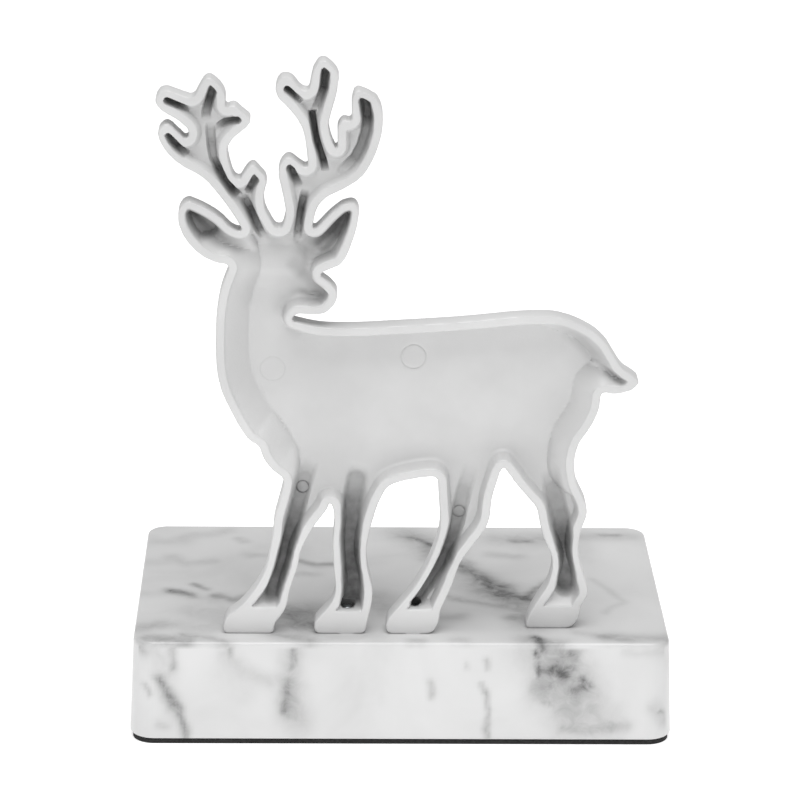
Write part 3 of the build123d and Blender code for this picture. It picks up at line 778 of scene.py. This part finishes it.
# streaks on the far face and the two ends: face, points (along, z), half width, strength
otherStreaks = [
    ("far", [(50, 26), (44, 16), (46, 3)], 2.6, 0.45), ("far", [(20, 20), (8, 14), (-6, 16)], 1.8, 0.4),
    ("far", [(-30, 27), (-36, 12), (-33, 2)], 2.2, 0.5), ("far", [(-52, 22), (-60, 8)], 3.4, 0.3),
    ("left", [(-30, 26), (-22, 12), (-24, 3)], 2.2, 0.5),
    ("left", [(4, 24), (16, 18), (30, 20)], 1.6, 0.4), ("right", [(-38, 22), (-30, 10)], 2.4, 0.4),
    ("right", [(-8, 26), (2, 14), (0, 2)], 1.8, 0.5), ("right", [(20, 18), (34, 14)], 2.6, 0.3),
]


def cornerDistance(x, y, halfX, halfY, radius):
    # distance inside a rectangle with rounded corners
    qx = np.abs(x) - halfX + radius
    qy = np.abs(y) - halfY + radius
    return radius - np.hypot(np.maximum(qx, 0), np.maximum(qy, 0)) - np.minimum(np.maximum(qx, qy), 0)


def blockTopFace(shape, halfX, halfY, top):
    # a grid cut to the rounded outline, whose edge is then rounded down
    c = block
    xs = np.linspace(-halfX - 1, halfX + 1, round((2 * halfX + 2) / c["grid"]))
    ys = np.linspace(-halfY - 1, halfY + 1, round((2 * halfY + 2) / c["grid"]))
    grid = [[None] * len(ys) for x in xs]
    for i, x in enumerate(xs):
        for j, y in enumerate(ys):
            away = float(cornerDistance(x, y, halfX, halfY, c["corner"]))
            grid[i][j] = shape.verts.new((x, y, away))
    for i in range(len(xs) - 1):
        for j in range(len(ys) - 1):
            square = [grid[i][j], grid[i + 1][j], grid[i + 1][j + 1], grid[i][j + 1]]
            if max(v.co.z for v in square) > 0:
                shape.faces.new(square)
    bmesh.ops.delete(shape, geom=[v for v in shape.verts if not v.link_faces], context="VERTS")
    bmesh.ops.triangulate(shape, faces=shape.faces[:])
    for part in c["roundCuts"]:
        cutAt(shape, c["topRound"] * part)
    cutAt(shape, 0, clear=True)
    for vert in shape.verts:
        inward = min(vert.co.z / c["topRound"], 1)
        vert.co.z = top - c["topRound"] * (1 - math.sqrt(1 - (1 - inward) ** 2))


def sideRows(top, low):
    # rows of the side from the top face's rounding down to the foot: (distance out, height)
    c = block
    first = top - c["topRound"]
    last = low + c["footRound"]
    count = round((first - last) / c["grid"])
    rows = [(c["draft"] * k / count, first + (last - first) * k / count) for k in range(1, count + 1)]
    for k in range(1, c["footSteps"] + 1):
        turn = math.pi / 2 * k / c["footSteps"]
        out = c["draft"] - c["footRound"] * (1 - math.cos(turn))
        rows.append((out, last - c["footRound"] * math.sin(turn)))
    return rows


def inOrder(loop):
    # the points of a closed loop of edges, one after another
    nextTo = {}
    for edge in loop:
        for a, b in (edge.verts, reversed(edge.verts)):
            nextTo.setdefault(a, []).append(b)
    start = loop[0].verts[0]
    order, previous = [start], None
    while True:
        step = [v for v in nextTo[order[-1]] if v is not previous]
        previous = order[-1]
        if step[0] is start:
            return order
        order.append(step[0])


def blockMesh():
    c = block
    halfX = (blockHigh[0] - blockLow[0]) / 2 / mm - c["draft"]
    halfY = (blockHigh[1] - blockLow[1]) / 2 / mm - c["draft"]
    top, low = blockHigh[2] / mm, blockLow[2] / mm
    shape = bmesh.new()
    blockTopFace(shape, halfX, halfY, top)
    loop = [e for e in shape.edges if e.is_boundary]
    ring = {v: v for e in loop for v in e.verts}
    edgeOf = {}
    for vert in ring:
        x, y = vert.co.x, vert.co.y
        side = Vector((max(abs(x) - halfX + c["corner"], 0) * (1 if x > 0 else -1),
                       max(abs(y) - halfY + c["corner"], 0) * (1 if y > 0 else -1), 0))
        edgeOf[vert] = (vert.co.copy(), side.normalized())
    for away, height in sideRows(top, low):
        below = {}
        for vert, (place, side) in edgeOf.items():
            below[vert] = shape.verts.new((place.x + side.x * away, place.y + side.y * away, height))
        for edge in loop:
            a, b = edge.verts
            shape.faces.new((ring[a], ring[b], below[b], below[a]))
        ring = below
    shape.faces.new([ring[v] for v in inOrder(loop)])
    bmesh.ops.recalc_face_normals(shape, faces=shape.faces)
    for vert in shape.verts:
        vert.co *= mm
    mesh = bpy.data.meshes.new("marbleBlock")
    shape.to_mesh(mesh)
    shape.free()
    return mesh


def stray(place):
    # which way the streaks bend at a point of the stone
    c = block
    slow = noise.noise_vector(Vector(place) * c["slowBend"])
    return slow + c["quickPart"] * noise.noise_vector(Vector(place) * c["quickBend"])


def paintStone(mesh):
    # how much grey vein each point of the stone carries
    c = block
    places = np.array([v.co for v in mesh.vertices]) / mm
    x, y, z = (places + np.array([stray(place) for place in places]) * c["wander"]).T
    px, py, pz = places.T
    top = blockHigh[2] / mm - c["topBand"]
    side, ends = blockHigh[1] / mm - c["sideBand"], blockHigh[0] / mm - c["sideBand"]
    below = pz <= top
    faces = {
        "top": (x, y, pz > top), "near": (x, z, (py < -side) & below), "far": (x, z, (py > side) & below),
        "left": (y, z, (px < -ends) & below), "right": (y, z, (px > ends) & below),
    }
    streaks = [("top",) + s for s in topStreaks] + [("near",) + s for s in frontStreaks] + otherStreaks
    clear = np.ones(len(places))
    for face, line, half, strength in streaks:
        across, along, here = faces[face]
        away = lineDistance(line, across, along) / half
        clear = clear * (1 - here * strength * np.exp(-c["falloff"] * away ** 2))
    mesh.attributes.new("vein", "FLOAT", "POINT").data.foreach_set("value", list(1 - clear))


def polishedMarble():
    # cast marble with a polished face: white body, soft grey clouds, grey veins with dark specks in them
    c = block
    material, tree, surface, where = newMaterial("polishedCastMarble")
    cloud = addNode(tree, "ShaderNodeTexNoise", Vector=where, Scale=scaleFor(c["cloud"]), Detail=4.0,
                    Distortion=0.6)
    body = ramp(tree, cloud.outputs["Fac"], *c["body"])
    vein = addNode(tree, "ShaderNodeAttribute", {"attribute_name": "vein"}).outputs["Fac"]
    broken = addNode(tree, "ShaderNodeTexNoise", Vector=where, Scale=scaleFor(c["broken"]), Detail=5.0,
                     Roughness=0.65, Distortion=0.8)
    ragged = addNode(tree, "ShaderNodeMapRange", i0=broken.outputs["Fac"], i1=0.3, i2=0.7, i3=0.72, i4=1.24)
    amount = addNode(tree, "ShaderNodeMath", {"operation": "MULTIPLY", "use_clamp": True}, i0=vein,
                     i1=ragged.outputs[0])
    grey = ramp(tree, amount.outputs[0], *c["veins"])
    colour = addNode(tree, "ShaderNodeMix", {"data_type": "RGBA", "blend_type": "MULTIPLY"}, i0=1.0, i6=body,
                     i7=grey)
    tree.links.new(colour.outputs[2], surface.inputs["Base Color"])
    surface.inputs["Roughness"].default_value = c["roughness"]
    surface.inputs["IOR"].default_value = c["glassiness"]
    polish = addNode(tree, "ShaderNodeTexNoise", Vector=where, Scale=scaleFor(c["polish"]), Detail=2.0)
    bump = addNode(tree, "ShaderNodeBump", Strength=0.05, Distance=0.3 * mm, Height=polish.outputs["Fac"])
    tree.links.new(bump.outputs["Normal"], surface.inputs["Normal"])
    return material


slab = makeObject("marbleBlock", blockMesh(), polishedMarble())
base = blockLow[2]
drill(slab, [(x * mm, screwY, base - mm, top, across * mm)
             for top, across in ((blockTop + mm, block["clearance"]),
                                 (base + block["boreDeep"] * mm, block["counterbore"]))
             for x in tapped["xs"]])
paintStone(slab.data)
shadeSmooth(slab.data, block["sharpest"])
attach(slab, "root")
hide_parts("marble_block")
print("marble ready", len(slab.data.polygons), "faces")


foamPad = {
    "edgeRound": 0.25, "edgeSteps": 2, "roughness": 0.92,
    "cellGreys": ((0.0, "#101010"), (0.8, "#262626")),
    "cell": 0.7143,      # really about 0.3 mm, drawn coarser so that it shows
}


def blackFoam():
    # closed-cell foam with its skin cut away: matt black with fine round cells
    material, tree, surface, where = newMaterial("blackFoam")
    cells = addNode(tree, "ShaderNodeTexVoronoi", Vector=where, Scale=scaleFor(foamPad["cell"]))
    colour = ramp(tree, cells.outputs["Distance"], *foamPad["cellGreys"])
    tree.links.new(colour, surface.inputs["Base Color"])
    surface.inputs["Roughness"].default_value = foamPad["roughness"]
    bump = addNode(tree, "ShaderNodeBump", Strength=0.5, Distance=0.2 * mm, Height=cells.outputs["Distance"])
    tree.links.new(bump.outputs["Normal"], surface.inputs["Normal"])
    return material


pad = makeObject("foamPad", mergedCopy("foam_pad", "foamPad"), blackFoam())
soften = pad.modifiers.new("soften", "BEVEL")
soften.width = foamPad["edgeRound"] * mm
soften.segments = foamPad["edgeSteps"]
applyModifiers(pad)
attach(pad, "root")
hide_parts("foam_pad")
print("pad ready", len(pad.data.polygons), "faces")


# Screws and washers, in mm. The thread's length stops short of the screw's chamfered end.
fastener = {
    "pitch": 0.7, "core": 3.05, "crest": 3.8, "length": 24.2, "steps": 20,
    "shank": 25,  # from under the head to the tip
    "greys": ((0.35, "#a9adb1"), (0.65, "#c3c7ca")), "roughLow": 0.25, "roughHigh": 0.42,
    "cloud": 3.333,  # cloudy passivation
    "lines": 0.4,  # turning lines, really about 0.1 mm, drawn coarser so that they show
}


def zincSteel():
    # zinc-plated steel: bluish grey metal with a cloudy passivated sheen and fine turning lines
    f = fastener
    material, tree, surface, where = newMaterial("zincPlatedSteel")
    cloud = addNode(tree, "ShaderNodeTexNoise", Vector=where, Scale=scaleFor(f["cloud"]), Detail=3.0)
    tree.links.new(ramp(tree, cloud.outputs["Fac"], *f["greys"]), surface.inputs["Base Color"])
    surface.inputs["Metallic"].default_value = 1.0
    rough = addNode(tree, "ShaderNodeMapRange", i0=cloud.outputs["Fac"], i3=f["roughLow"], i4=f["roughHigh"])
    tree.links.new(rough.outputs[0], surface.inputs["Roughness"])
    lines = addNode(tree, "ShaderNodeTexNoise", Vector=where, Scale=scaleFor(f["lines"]), Detail=1.0)
    bump = addNode(tree, "ShaderNodeBump", Strength=0.1, Distance=0.1 * mm, Height=lines.outputs["Fac"])
    tree.links.new(bump.outputs["Normal"], surface.inputs["Normal"])
    return material


def threadTree(material):
    # a ridge wound up the shank; pitch, core, crest and length are the inputs
    tree = bpy.data.node_groups.new("screwThread", "GeometryNodeTree")
    sockets = {}
    for name in ("Geometry", "Pitch", "Core", "Crest", "Length"):
        kind = "NodeSocketGeometry" if name == "Geometry" else "NodeSocketFloat"
        sockets[name] = tree.interface.new_socket(name, in_out="INPUT", socket_type=kind).identifier
    tree.interface.new_socket("Geometry", in_out="OUTPUT", socket_type="NodeSocketGeometry")
    given = addNode(tree, "NodeGroupInput").outputs
    turns = addNode(tree, "ShaderNodeMath", {"operation": "DIVIDE"}, i0=given["Length"], i1=given["Pitch"])
    core = addNode(tree, "ShaderNodeMath", {"operation": "MULTIPLY"}, i0=given["Core"], i1=0.5).outputs[0]
    crest = addNode(tree, "ShaderNodeMath", {"operation": "MULTIPLY"}, i0=given["Crest"], i1=0.5).outputs[0]
    ridge = addNode(tree, "ShaderNodeMath", {"operation": "SUBTRACT"}, i0=crest, i1=core)
    path = addNode(tree, "GeometryNodeCurveSpiral", Resolution=fastener["steps"], Rotations=turns.outputs[0],
                   Start_Radius=core, End_Radius=core, Height=given["Length"])
    upright = addNode(tree, "GeometryNodeSetCurveNormal", {"mode": "Z_UP"}, i0=path.outputs[0])
    section = addNode(tree, "GeometryNodeCurvePrimitiveCircle", {"mode": "RADIUS"}, Resolution=4,
                      Radius=ridge.outputs[0])
    wound = addNode(tree, "GeometryNodeCurveToMesh", Curve=upright.outputs[0],
                    Profile_Curve=section.outputs[0], Fill_Caps=True)
    joined = addNode(tree, "GeometryNodeJoinGeometry")
    tree.links.new(given["Geometry"], joined.inputs[0])
    tree.links.new(wound.outputs[0], joined.inputs[0])
    real = addNode(tree, "GeometryNodeRealizeInstances", i0=joined.outputs[0])
    coated = addNode(tree, "GeometryNodeSetMaterial", Geometry=real.outputs[0], Material=material)
    out = addNode(tree, "NodeGroupOutput")
    tree.links.new(coated.outputs[0], out.inputs[0])
    return tree, sockets


def makeScrew(end, steel, thread, sockets):
    # built on its own axis first, so that the thread winds round it
    f = fastener
    low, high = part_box(end + "_screw")
    seat = Vector(((low[0] + high[0]) / 2, (low[1] + high[1]) / 2, high[2] - f["shank"] * mm))
    aboveHead = 0.01 * mm
    mesh = mergedCopy(end + "_screw", end + "Screw")
    for vert in mesh.vertices:
        vert.co -= seat
        if vert.co.z > aboveHead:
            away = math.hypot(vert.co.x, vert.co.y)
            shrink = (f["core"] - f["crest"]) / 2 * mm / away + 1
            vert.co.x *= shrink
            vert.co.y *= shrink
    piece = makeObject(end + "Screw", mesh, steel)
    wind = piece.modifiers.new("thread", "NODES")
    wind.node_group = thread
    for name in ("Pitch", "Core", "Crest", "Length"):
        wind[sockets[name]] = f[name.lower()] * mm
    applyModifiers(piece)
    for vert in piece.data.vertices:
        vert.co += seat
    return piece


steel = zincSteel()
thread, threadSockets = threadTree(steel)
for end in ("fore", "hind"):
    screw = makeScrew(end, steel, thread, threadSockets)
    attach(screw, "root")
    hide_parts(end + "_screw")
    for piece in ("flat_washer", "spring_washer"):
        washer = makeObject(end + "_" + piece + "_ring", mergedCopy(end + "_" + piece, end + piece), steel)
        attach(washer, "root")
        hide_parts(end + "_" + piece)
    print(end, "screw and washers ready")
